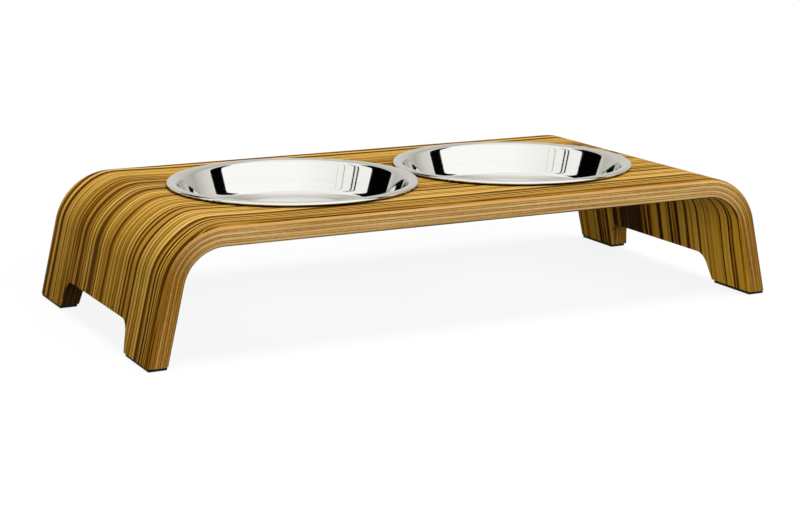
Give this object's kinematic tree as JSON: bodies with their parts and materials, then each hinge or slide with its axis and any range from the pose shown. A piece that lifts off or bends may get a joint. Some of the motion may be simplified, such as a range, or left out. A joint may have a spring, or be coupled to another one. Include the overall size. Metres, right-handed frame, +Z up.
{
  "type": "double cat bowl",
  "caption": "Low bent-plywood stand with a striped veneer, splayed notched legs and rubber pads, holding round steel food bowls that lift out by their rims.",
  "frame": {"origin": "on the floor, under the middle of the stand", "axes": "+X along the stand towards the right bowl, +Y towards the back, +Z up"},
  "size_m": [0.418, 0.2, 0.0812],
  "materials": {
    "zebrano_veneer": "satin lacquer",
    "core_ply_cross_grain": "satin lacquer",
    "core_ply_long_grain": "satin lacquer",
    "polished_steel": "polished to a mirror",
    "black_rubber": "matt"
  },
  "bodies": {
    "stand": {"outer_veneer": "zebrano_veneer", "core_ply_1": "core_ply_cross_grain", "core_ply_2": "core_ply_long_grain", "core_ply_3": "core_ply_cross_grain", "core_ply_4": "core_ply_long_grain", "core_ply_5": "core_ply_cross_grain", "core_ply_6": "core_ply_long_grain", "core_ply_7": "core_ply_cross_grain", "inner_veneer": "zebrano_veneer", "front_left_foot_pad": "black_rubber", "rear_left_foot_pad": "black_rubber", "front_right_foot_pad": "black_rubber", "rear_right_foot_pad": "black_rubber"},
    "left_bowl": {"left_bowl": "polished_steel"},
    "right_bowl": {"right_bowl": "polished_steel"}
  },
  "joints": [
    {"name": "left_bowl_lift", "type": "slide", "parent": "stand", "child": "left_bowl", "axis": [0, 0, 1], "range_m": [0, 0.05]},
    {"name": "right_bowl_lift", "type": "slide", "parent": "stand", "child": "right_bowl", "axis": [0, 0, 1], "range_m": [0, 0.05]}
  ]
}
